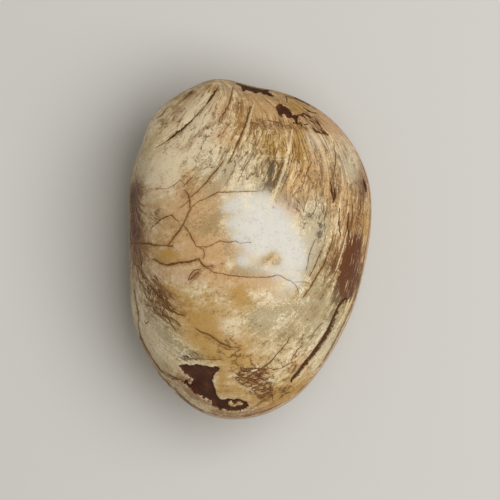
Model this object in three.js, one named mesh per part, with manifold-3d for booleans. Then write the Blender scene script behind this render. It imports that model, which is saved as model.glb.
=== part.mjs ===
// A fossil clam: two closed valves and the mud between them, turned to one stone and polished.
// Millimetres, +Z up. The clam lies on its lower valve, on a small flat ground there, and the
// origin is the centre of its bounding box's base. +Y runs along the shell and +X across it.
import * as THREE from "three";
import { mergeVertices } from "three/addons/utils/BufferGeometryUtils.js";
import Module from "manifold-3d";

// ---- The shell's form ----
// The margin where the valves meet: its radii about the shell's middle, at equal steps of angle
// from +X towards +Y. It is 51 mm across and 72 mm long.
const MARGIN_RADII = [
  24.7, 26.4, 28.9, 31.0, 32.8, 34.0, 35.2, 38.8, 36.0, 33.9, 30.0, 26.8, 25.8, 26.5, 28.9, 31.3,
  33.9, 36.1, 35.5, 32.9, 29.2, 26.4, 24.9, 24.2,
];
const HALF_THICKNESS = 19; // of one valve, at its fullest

// Each valve grew out from its beak while it turned about the hinge line.
const BEAK = [-14.8, 28.5]; // where the beaks stand on the hinge line, from the shell's middle
const HINGE_ANGLE = 227; // degrees from +X to the hinge line, towards the shell's narrow end
const GROWTH_RATE = 0.95; // how fast the growth lines shrink as they turn up to the beak
const MARGIN_ROUNDING = 20; // degrees of that turn over which the margin is rounded off
const FULLNESS = 0.77; // height of the valve against a plain growth spiral

// ---- What the tumbling left ----
const WEAR = 0.65; // share by which it wore the shell down to a plain egg on the same margin
const EVENING = 4.6; // degrees, seen from the middle, over which it evened the surface
// The rings of neighbours that it is evened with, and each neighbour's share of its own weight.
const EVENING_RINGS = [
  { size: 0.5, count: 6, share: 0.74 },
  { size: 1, count: 10, share: 0.3 },
];
const FLAT_DEPTH = 0.4; // ground off the lower valve to make the resting flat
const SEAM_DEPTH = 0.4; // of the fine groove where the valves meet
const HALTS = [9, 22, 37, 54]; // turns, in degrees, of the low troughs where growth halted
const HALT_DEPTH = 0.2;
const HALT_WIDTH = 3.2; // degrees of turn
const HALT_FADE = 60; // degrees of turn over which they fade towards the worn crown

// Grooves that stayed open along growth lines of the upper valve. Each runs through these points,
// from the shell's middle.
const GROOVES = [
  { through: [[20.2, -11.4], [17.0, -17.0], [12.6, -23.1], [9.0, -27.7]], depth: 0.42 },
  { through: [[-0.1, 31.1], [-3.7, 21.0], [-8.8, 14.8], [-12.8, 11.0]], depth: 0.28 },
  { through: [[-6.9, 34.4], [-9.4, 30.7], [-14.3, 25.6], [-19.2, 21.8]], depth: 0.3 },
];
const GROOVE_RADIUS = 0.5; // of the round bottom
const GROOVE_STEPS = 20;
const GROOVE_SIDES = 7;

// Pits in the upper valve that the polish didn't reach, from the shell's middle. Their long axis
// makes this angle with +X.
const PITS = [
  { at: [-10.6, -27.2], radii: [3.8, 2.2], angle: -38, depth: 0.5 },
  { at: [-4.0, -32.4], radii: [4.2, 1.3], angle: -12, depth: 0.45 },
  { at: [7.6, 28.9], radii: [2.5, 1.2], angle: -32, depth: 0.45 },
  { at: [1.6, 34.0], radii: [3.0, 0.9], angle: -14, depth: 0.4 },
];
const PIT_ROUNDING = 1.1; // height of a pit's cutter, which sets how steep its sides are
const PIT_SIDES = 20;
const PIT_ROWS = 10;

// ---- The mesh ----
const GRID = 24; // squares along each side of the box that the surface is spread from
const ROW_CROWDING = 1.6; // above 1, the rows crowd towards the seam
const SEARCH_STEPS = 26; // halvings of a search
const NUDGE = 0.05; // for a slope
const WIDEST = 60; // further than the shell reaches

const rad = THREE.MathUtils.degToRad;
const along = (angle) => [Math.cos(rad(angle)), Math.sin(rad(angle))];
const hingeWay = along(HINGE_ANGLE);
const growthWay = along(HINGE_ANGLE + 90);

// The number between low and high where test turns from true to false.
function search(low, high, test) {
  for (let step = 0; step < SEARCH_STEPS; step += 1) {
    const middle = (low + high) / 2;
    if (test(middle)) low = middle;
    else high = middle;
  }
  return low;
}

// The margin's radius at an angle, on a smooth closed curve through its radii.
function marginRadius(angle) {
  const n = MARGIN_RADII.length;
  const turns = angle / (2 * Math.PI);
  const place = (turns - Math.floor(turns)) * n;
  const i = Math.floor(place);
  const t = place - i;
  const [a, b, c, d] = [-1, 0, 1, 2].map((k) => MARGIN_RADII[(i + k + n) % n]);
  return b + 0.5 * t * (c - a + t * (2 * a - 5 * b + 4 * c - d + t * (3 * (b - c) + d - a)));
}

// A point as its place along the hinge line, how far it is from that line, and its turn about it.
// The margin has no turn, and the growth lines are the curves of equal turn.
function aboutHinge(x, y, z) {
  const [dx, dy] = [x - BEAK[0], y - BEAK[1]];
  const out = dx * growthWay[0] + dy * growthWay[1];
  const up = Math.abs(z) / FULLNESS;
  const place = dx * hingeWay[0] + dy * hingeWay[1];
  return { place, away: Math.hypot(out, up), turn: Math.atan2(up, out) };
}

// Whether a point is inside the unworn shell: grown back along the spiral to the margin's plane,
// it lies within the margin.
function isInside(x, y, z) {
  const { place, away, turn } = aboutHinge(x, y, z);
  const rounding = rad(MARGIN_ROUNDING);
  const scale = Math.exp(-GROWTH_RATE * (Math.hypot(turn, rounding) - rounding));
  const mx = BEAK[0] + (away * growthWay[0] + place * hingeWay[0]) / scale;
  const my = BEAK[1] + (away * growthWay[1] + place * hingeWay[1]) / scale;
  return Math.hypot(mx, my) < marginRadius(Math.atan2(my, mx));
}

// How far the worn shell reaches from its middle in a direction.
function reach(d) {
  const shell = search(0, WIDEST, (r) => isInside(d.x * r, d.y * r, d.z * r));
  const margin = marginRadius(Math.atan2(d.y, d.x));
  const egg = 1 / Math.hypot(Math.hypot(d.x, d.y) / margin, d.z / HALF_THICKNESS);
  return THREE.MathUtils.lerp(shell, egg, WEAR);
}

// The same, evened out: the mean over rings of directions about this one.
function evenedReach(d) {
  const across = new THREE.Vector3(-d.y, d.x, 0);
  if (across.lengthSq() < 1e-9) across.set(1, 0, 0);
  across.normalize();
  const upward = d.clone().cross(across);
  let [sum, weight] = [reach(d), 1];
  for (const { size, count, share } of EVENING_RINGS) {
    const tilt = Math.tan(rad(EVENING * size));
    for (let i = 0; i < count; i += 1) {
      const a = (2 * Math.PI * (i + size / 2)) / count;
      const tipped = d.clone();
      tipped.addScaledVector(across, tilt * Math.cos(a)).addScaledVector(upward, tilt * Math.sin(a));
      sum += share * reach(tipped.normalize());
      weight += share;
    }
  }
  return sum / weight;
}

// The depth of the low troughs at a turn. They fade out towards the worn crown.
function haltDepth(turn) {
  const degrees = THREE.MathUtils.radToDeg(turn);
  const fade = Math.exp(-degrees / HALT_FADE);
  const near = (halt) => Math.exp(-(((degrees - halt) / HALT_WIDTH) ** 2));
  return HALT_DEPTH * fade * HALTS.reduce((sum, halt) => sum + near(halt), 0);
}

// The point of the upper valve above a place in the seam's plane.
function pointAbove(x, y) {
  const isUnder = (z) => {
    const p = new THREE.Vector3(x, y, z);
    return p.length() < evenedReach(p.clone().normalize());
  };
  return new THREE.Vector3(x, y, search(0, WIDEST, isUnder));
}

// The upper valve's outward normal there.
function normalAbove(x, y) {
  const here = pointAbove(x, y);
  const east = pointAbove(x + NUDGE, y).sub(here);
  const north = pointAbove(x, y + NUDGE).sub(here);
  return east.cross(north).normalize();
}

// ---- The shell ----
// A box's squares, spread over the shell, with a row of their corners along the seam.
function shellGeometry() {
  const box = new THREE.BoxGeometry(2, 2, 2, GRID, GRID, GRID);
  box.deleteAttribute("normal");
  box.deleteAttribute("uv");
  const shell = mergeVertices(box, 1e-4);
  const corners = shell.attributes.position;
  const [wide, long] = [marginRadius(0), marginRadius(Math.PI / 2)];
  const d = new THREE.Vector3();
  for (let i = 0; i < corners.count; i += 1) {
    d.fromBufferAttribute(corners, i);
    const isSeam = Math.abs(d.z) < 1e-6;
    d.set(...d.toArray().map((v) => Math.tan((v * Math.PI) / 4)));
    d.z = Math.sign(d.z) * Math.abs(d.z) ** ROW_CROWDING;
    d.normalize();
    d.set(d.x * wide, d.y * long, d.z * HALF_THICKNESS).normalize();
    const surface = evenedReach(d);
    const { turn } = aboutHinge(d.x * surface, d.y * surface, d.z * surface);
    const relief = isSeam ? SEAM_DEPTH : haltDepth(turn);
    d.multiplyScalar(surface - relief);
    corners.setXYZ(i, d.x, d.y, d.z);
  }
  return shell;
}

// A round cutter along a groove. It rises out of the surface at both ends.
function grooveCutter({ through, depth }) {
  const plan = new THREE.CatmullRomCurve3(through.map(([x, y]) => new THREE.Vector3(x, y, 0)));
  const path = plan.getPoints(GROOVE_STEPS).map(({ x, y }, i) => {
    const sunk = depth * Math.sqrt(Math.sin((Math.PI * i) / GROOVE_STEPS));
    return pointAbove(x, y).addScaledVector(normalAbove(x, y), GROOVE_RADIUS - sunk);
  });
  const section = new THREE.Shape();
  section.absarc(0, 0, GROOVE_RADIUS, 0, 2 * Math.PI);
  return new THREE.ExtrudeGeometry(section, {
    extrudePath: new THREE.CatmullRomCurve3(path),
    steps: GROOVE_STEPS,
    curveSegments: GROOVE_SIDES,
    bevelEnabled: false,
  });
}

// A flattened ball set into the upper valve, so that it cuts a shallow pit.
function pitCutter({ at, radii, angle, depth }) {
  const normal = normalAbove(...at);
  const long = new THREE.Vector3(...along(angle), 0);
  long.addScaledVector(normal, -long.dot(normal)).normalize();
  const cutter = new THREE.SphereGeometry(1, PIT_SIDES, PIT_ROWS);
  // Widened, so that the pit has its stated radii where it meets the surface.
  const rim = Math.sqrt(1 - (1 - depth / PIT_ROUNDING) ** 2);
  cutter.scale(radii[0] / rim, radii[1] / rim, PIT_ROUNDING);
  const across = normal.clone().cross(long);
  cutter.applyMatrix4(new THREE.Matrix4().makeBasis(long, across, normal));
  const centre = pointAbove(...at).addScaledVector(normal, PIT_ROUNDING - depth);
  return cutter.translate(...centre);
}

// ---- Cutting, with manifold-3d ----
const wasm = await Module();
wasm.setup();

function solid(geometry) {
  geometry.deleteAttribute("normal");
  geometry.deleteAttribute("uv");
  const merged = mergeVertices(geometry, 1e-4);
  return new wasm.Manifold(
    new wasm.Mesh({
      numProp: 3,
      vertProperties: merged.attributes.position.array,
      triVerts: new Uint32Array(merged.index.array),
    }),
  );
}

function geometryOf(manifold) {
  const mesh = manifold.getMesh();
  const geometry = new THREE.BufferGeometry();
  geometry.setAttribute("position", new THREE.BufferAttribute(mesh.vertProperties, 3));
  geometry.setIndex(new THREE.BufferAttribute(mesh.triVerts, 1));
  geometry.computeVertexNormals();
  return geometry;
}

// ---- The whole clam ----
function clamGeometry() {
  const shell = shellGeometry();
  shell.computeBoundingBox();
  const { min, max } = shell.boundingBox;
  const floor = min.z + FLAT_DEPTH;
  const below = new THREE.BoxGeometry(WIDEST, WIDEST, WIDEST).translate(0, 0, floor - WIDEST / 2);
  let clam = solid(shell).subtract(solid(below));
  for (const groove of GROOVES) clam = clam.subtract(solid(grooveCutter(groove)));
  for (const pit of PITS) clam = clam.subtract(solid(pitCutter(pit)));
  return geometryOf(clam).translate(-(min.x + max.x) / 2, -(min.y + max.y) / 2, -floor);
}

const stone = new THREE.MeshStandardMaterial({ color: 0xb8976b, roughness: 0.3, metalness: 0 });
const clam = new THREE.Mesh(clamGeometry(), stone);
clam.name = "fossil_clam";

const group = new THREE.Group();
group.add(clam);

export default group;
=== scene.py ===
import math

import bpy
import numpy as np
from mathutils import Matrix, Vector, noise


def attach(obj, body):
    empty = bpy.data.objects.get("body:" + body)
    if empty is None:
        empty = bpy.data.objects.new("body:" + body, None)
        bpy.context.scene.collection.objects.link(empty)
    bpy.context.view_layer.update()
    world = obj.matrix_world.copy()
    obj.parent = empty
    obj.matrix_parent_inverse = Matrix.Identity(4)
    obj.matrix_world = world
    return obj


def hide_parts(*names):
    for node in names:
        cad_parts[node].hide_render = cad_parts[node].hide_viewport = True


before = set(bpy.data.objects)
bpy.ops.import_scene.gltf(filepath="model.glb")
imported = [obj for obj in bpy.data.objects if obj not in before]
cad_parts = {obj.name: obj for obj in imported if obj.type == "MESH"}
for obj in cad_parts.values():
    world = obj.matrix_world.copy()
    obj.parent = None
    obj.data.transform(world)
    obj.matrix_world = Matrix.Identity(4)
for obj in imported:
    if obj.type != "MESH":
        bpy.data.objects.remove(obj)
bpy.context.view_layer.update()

# ---- The shell ----
# A clam that closed as it died. Its two valves and the mud between them turned to one stone, so it
# is one piece. Each valve grew out from its beak as it turned about the hinge line, and the margin
# of each day is a growth line. It was tumbled and rests on a small flat ground on the lower valve.
MM_PER_M = 1000
MARGIN_RADII = (
    24.7, 26.4, 28.9, 31.0, 32.8, 34.0, 35.2, 38.8, 36.0, 33.9, 30.0, 26.8,
    25.8, 26.5, 28.9, 31.3, 33.9, 36.1, 35.5, 32.9, 29.2, 26.4, 24.9, 24.2,
)  # mm, at equal steps round the shell's middle, from +X towards +Y
HALF_THICKNESS = 19  # mm
BEAK = (-14.8, 28.5)  # mm, from the shell's middle
HINGE_ANGLE = math.radians(227)  # the hinge line's direction, from +X
GROWTH_RATE = 0.95  # how fast the shell grows with its turn about the hinge line
MARGIN_ROUNDING = math.radians(20)  # the turn over which the margin is rounded off
FULLNESS = 0.77  # the valves' swell, where 1 is a shell that turns in true circles
FLAT_DEPTH = 0.4  # mm, ground off the lowest point
GRID = 63  # squares along each edge of the starting cube, each of them then cut in four
ROW_CROWDING = 1.2  # past 1, the rows crowd towards the seam
WIDEST = 60  # mm, further than the shell reaches
SEARCH_STEPS = 20  # each halves the gap in which the surface lies

hinge_way = (math.cos(HINGE_ANGLE), math.sin(HINGE_ANGLE))
growth_way = (-hinge_way[1], hinge_way[0])


def margin_radius(angle):
    """The margin's radius at each angle, on a smooth closed curve through its radii."""
    radii = np.array(MARGIN_RADII)
    place = angle / (2 * np.pi) % 1 * len(radii)
    start = np.floor(place).astype(int)
    t = place - start
    a, b, c, d = (radii[(start + k) % len(radii)] for k in (-1, 0, 1, 2))
    return b + t / 2 * (c - a + t * (2 * a - 5 * b + 4 * c - d + t * (3 * (b - c) + d - a)))


def about_hinge(x, y, z):
    """Each point's place along the hinge line, its distance from it, and its turn about it."""
    dx, dy = x - BEAK[0], y - BEAK[1]
    out = dx * growth_way[0] + dy * growth_way[1]
    up = np.abs(z) / FULLNESS
    return dx * hinge_way[0] + dy * hinge_way[1], np.hypot(out, up), np.arctan2(up, out)


def is_inside(x, y, z):
    """Whether each point is in the unworn shell: it is grown back to the margin's own plane."""
    place, away, turn = about_hinge(x, y, z)
    scale = np.exp(-GROWTH_RATE * (np.hypot(turn, MARGIN_ROUNDING) - MARGIN_ROUNDING))
    mx = BEAK[0] + (away * growth_way[0] + place * hinge_way[0]) / scale
    my = BEAK[1] + (away * growth_way[1] + place * hinge_way[1]) / scale
    return np.hypot(mx, my) < margin_radius(np.arctan2(my, mx))


# Tumbling wore the shell two thirds of the way to a plain egg, and evened it over a few degrees.
WEAR = 0.65
EVENING = math.radians(4.6)
EVENING_RINGS = ((0.5, 6, 0.74), (1, 10, 0.3))  # size, how many neighbours, the share of each
POLE = 1e-5  # this near to straight up or down, any direction across will do


def reach(way):
    """How far the worn shell reaches from its middle in each direction."""
    low = np.zeros(len(way))
    high = np.full(len(way), float(WIDEST))
    for _ in range(SEARCH_STEPS):
        middle = (low + high) / 2
        inside = is_inside(*(way * middle[:, None]).T)
        low = np.where(inside, middle, low)
        high = np.where(inside, high, middle)
    margin = margin_radius(np.arctan2(way[:, 1], way[:, 0]))
    egg = 1 / np.hypot(np.hypot(way[:, 0], way[:, 1]) / margin, way[:, 2] / HALF_THICKNESS)
    return (1 - WEAR) * low + WEAR * egg


def unit(vectors):
    """The same directions, each 1 long."""
    return vectors / np.linalg.norm(vectors, axis=1)[:, None]


def evened_reach(way):
    """The same, as the mean over rings of directions about each one."""
    across = np.stack([-way[:, 1], way[:, 0], np.zeros(len(way))], axis=1)
    across[np.hypot(way[:, 0], way[:, 1]) < POLE] = (1, 0, 0)
    across = unit(across)
    upward = np.cross(way, across)
    total, weight = reach(way), 1
    for size, count, share in EVENING_RINGS:
        tilt = math.tan(EVENING * size)
        for i in range(count):
            a = 2 * math.pi * (i + size / 2) / count
            tipped = way + tilt * (math.cos(a) * across + math.sin(a) * upward)
            total = total + share * reach(unit(tipped))
            weight += share
    return total / weight


bpy.ops.object.select_all(action="DESELECT")
bpy.ops.mesh.primitive_cube_add(size=2)
stone = bpy.context.object
stone.name = "clam_stone"
bpy.ops.object.mode_set(mode="EDIT")
bpy.ops.mesh.subdivide(number_cuts=GRID - 1)
bpy.ops.mesh.subdivide(number_cuts=1)
bpy.ops.object.mode_set(mode="OBJECT")

corners = np.empty(3 * len(stone.data.vertices))
stone.data.vertices.foreach_get("co", corners)
way = np.tan(corners.reshape(-1, 3) * math.pi / 4)
way[:, 2] = np.sign(way[:, 2]) * np.abs(way[:, 2]) ** ROW_CROWDING
wide, long = margin_radius(np.array([0, math.pi / 2]))
way = unit(unit(way) * (wide, long, HALF_THICKNESS))
surface = evened_reach(way)
MM = way * surface[:, None]  # each corner's place in mm, from the shell's middle
X, Y, Z = MM.T
PLACE, _, TURN = about_hinge(X, Y, Z)
UPPER, LOWER = Z >= 0, Z < 0
low, high = MM.min(axis=0), MM.max(axis=0)
floor_height = low[2] + FLAT_DEPTH
middle = np.array([-(low[0] + high[0]) / 2, -(low[1] + high[1]) / 2, -floor_height])


class Dye:
    """One socket of the stone's shading. Arithmetic on dyes adds Math nodes."""

    def __init__(self, socket):
        self.socket = socket

    @staticmethod
    def node(kind, settings=None, sockets=None, output=0):
        """Adds a node with these settings, sockets set or linked, and returns one output."""
        made = stone_material.node_tree.nodes.new(kind)
        for name, value in (settings or {}).items():
            if name == "stops":
                ramp = made.color_ramp.elements
                for i, (position, tint) in enumerate(value):
                    stop = ramp[i] if i < 2 else ramp.new(position)  # a new ramp has two
                    stop.position = position
                    stop.color = tint
            else:
                setattr(made, name, value)
        for name, value in (sockets or {}).items():
            if isinstance(value, Dye):
                stone_material.node_tree.links.new(value.socket, made.inputs[name])
            else:
                made.inputs[name].default_value = value
        return Dye(made.outputs[output]) if made.outputs else None

    def math(self, operation, *others):
        values = dict(enumerate((self, *others)))
        return Dye.node("ShaderNodeMath", {"operation": operation}, values)

    def __add__(self, other):
        return self.math("ADD", other)

    def __sub__(self, other):
        return self.math("SUBTRACT", other)

    def __mul__(self, other):
        return self.math("MULTIPLY", other)

    def __truediv__(self, other):
        return self.math("DIVIDE", other)

    def __rsub__(self, other):
        return Dye.node("ShaderNodeMath", {"operation": "SUBTRACT"}, {0: other, 1: self})

    __radd__ = __add__
    __rmul__ = __mul__


def step(value, low, high):
    """0 below low, 1 above high, and a soft step between them. High may be the lower of the two."""
    sockets = {"Value": value, "From Min": low, "From Max": high}
    return Dye.node("ShaderNodeMapRange", {"interpolation_type": "SMOOTHSTEP"}, sockets)


def vector(x, y, z):
    """Three dyes as one vector."""
    return Dye.node("ShaderNodeCombineXYZ", sockets={"X": x, "Y": y, "Z": z})


def grain(where, scale, detail=2, roughness=0.5):
    """Noise about 0 at a place, with so many features to the millimetre."""
    sockets = {"Vector": where, "Scale": scale, "Detail": detail, "Roughness": roughness}
    return Dye.node("ShaderNodeTexNoise", sockets=sockets) - 0.5


def colour(red, green, blue):
    """A colour of the stone in daylight, each part from 0 to 255, as the light it sends back."""
    parts = [c / 255 for c in (red, green, blue)]
    return tuple(c / 12.92 if c <= 0.04045 else ((c + 0.055) / 1.055) ** 2.4 for c in parts) + (1,)


def mix(first, second, share):
    """The first colour with this share of the second laid over it."""
    return Dye.node("ShaderNodeMix", {"data_type": "RGBA"}, {0: share, 6: first, 7: second}, output=2)


stone_material = bpy.data.materials.new("polished_fossil_stone")
stone_material.use_nodes = True
stone_material.node_tree.nodes.clear()
stone.data.materials.append(stone_material)

mm = Dye.node(
    "ShaderNodeVectorMath",
    {"operation": "MULTIPLY_ADD"},
    {0: Dye.node("ShaderNodeTexCoord", output="Object"), 1: (MM_PER_M,) * 3, 2: tuple(-middle)},
)
split = Dye.node("ShaderNodeSeparateXYZ", sockets={"Vector": mm}).socket.node
x, y, z = (Dye(split.outputs[i]) for i in range(3))
out = (x - BEAK[0]) * growth_way[0] + (y - BEAK[1]) * growth_way[1]
place = (x - BEAK[0]) * hinge_way[0] + (y - BEAK[1]) * hinge_way[1]
up = z.math("ABSOLUTE") / FULLNESS
turn = up.math("ARCTAN2", out)
VALVES_APART = 7.3  # far enough apart in the noise that the valves' patterns differ
side = z.math("SIGN") * VALVES_APART

# Growth lines. Their number counts down from the margin to the beak, and they sway a little. Hairs,
# streaks and bands are ever broader runs of them.
LINES_TO_NOW = 45
sway = grain(mm, 0.09) * 2.4 + grain(mm, 0.5) * 0.3
line_number = (turn * -GROWTH_RATE).math("EXPONENT") * LINES_TO_NOW + sway
hairs = grain(vector(line_number * 2.7, place * 0.3, side), 1, 3, 0.65)
streaks = grain(vector(line_number * 1.1, place * 0.11, side), 1, 3, 0.6)
bands = grain(vector(line_number * 0.4, place * 0.03, side), 1, 2)
clouds = grain(mm, 0.13, 4, 0.6)
mottle = grain(mm, 0.6, 5, 0.68)
specks = grain(mm, 2.3, 3, 0.75)
dust = grain(mm, 5, 2, 0.7)

# Calcite, worn to a soft cream where the growth lines are gone, and tan along them elsewhere.
WORN = (
    (0.3, colour(226, 212, 182)), (0.44, colour(208, 188, 150)), (0.58, colour(188, 164, 122)),
    (0.74, colour(150, 126, 88)),
)
FIBRES = (
    (0.26, colour(232, 214, 174)), (0.42, colour(206, 180, 132)), (0.56, colour(178, 146, 98)),
    (0.68, colour(142, 108, 66)), (0.82, colour(88, 60, 32)),
)
MIDDLE_TONE = 0.48  # where on its ramp the plainest stone lies
worn_tone = (
    clouds * 0.8 + mottle * 0.55 + specks * 0.45 + streaks * 0.25 + hairs * 0.2 + dust * 0.3
    + MIDDLE_TONE
)
fibre_tone = (
    bands * 0.4 + streaks * 0.55 + hairs * 0.62 + mottle * 0.65 + specks * 0.4 + dust * 0.2
    + MIDDLE_TONE
)

# Patches of stain, gloss and texture have soft edges, and each belongs to one valve.
PATCH_FALL = 0.7  # leaves half of a patch's strength at its half length and half width
STRONGEST = 1.5  # the most that patches add up to
VALVE_EDGE = (-0.5, 1)  # mm from the seam into a valve, where its patches begin and are full


def soft(value, low, high):
    """0 below low, 1 above high, and a soft step between them."""
    t = np.clip((value - low) / (high - low), 0, 1)
    return t * t * (3 - 2 * t)


def stain(above, below):
    """How strongly patches show at each corner, from those of the upper and the lower valve.

    A patch is its place, half length and half width in mm, its length's angle from +X in degrees,
    and its strength. A strength below 0 thins the patches that it lies over."""
    total = np.zeros(len(X))
    for patches, share in ((above, soft(Z, *VALVE_EDGE)), (below, soft(-Z, *VALVE_EDGE))):
        for x, y, half_length, half_width, angle, strength in patches:
            c, s = math.cos(math.radians(angle)), math.sin(math.radians(angle))
            u = ((X - x) * c + (Y - y) * s) / half_length
            v = ((Y - y) * c - (X - x) * s) / half_width
            total += share * strength * np.exp(-(u * u + v * v) * PATCH_FALL)
    return np.clip(total, 0, STRONGEST)


def keep(name, values):
    """Keeps a value at every corner of the stone, and gives it to the shading."""
    stone.data.attributes.new(name, "FLOAT", "POINT").data.foreach_set("value", values)
    return Dye.node("ShaderNodeAttribute", {"attribute_name": name}, output="Fac")


fibrous = stain(
    [(0, 28, 11, 8, -8, 1), (9, 19, 7, 9, 0, 0.9), (20, 3, 6, 15, 0, 1), (-12, 27, 9, 6, 45, 0.6),
     (-4, 23, 5, 8, -30, 0.7), (13, -22, 12, 5, 55, 0.45), (1, -29, 8, 4, 10, 0.3),
     (14, 12, 3, 4, 0, 0.4)],
    [(0, 20, 24, 16, 0, 0.8), (14, -8, 10, 26, -12, 1), (-8, -26, 14, 8, 0, 0.8)],
)
fibre_share = step(keep("fibrous", fibrous) + mottle * 0.6 + streaks * 0.5, 0.15, 0.8)
base = mix(
    Dye.node("ShaderNodeValToRGB", {"stops": WORN}, {"Fac": worn_tone}),
    Dye.node("ShaderNodeValToRGB", {"stops": FIBRES}, {"Fac": fibre_tone}),
    fibre_share,
)

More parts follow.
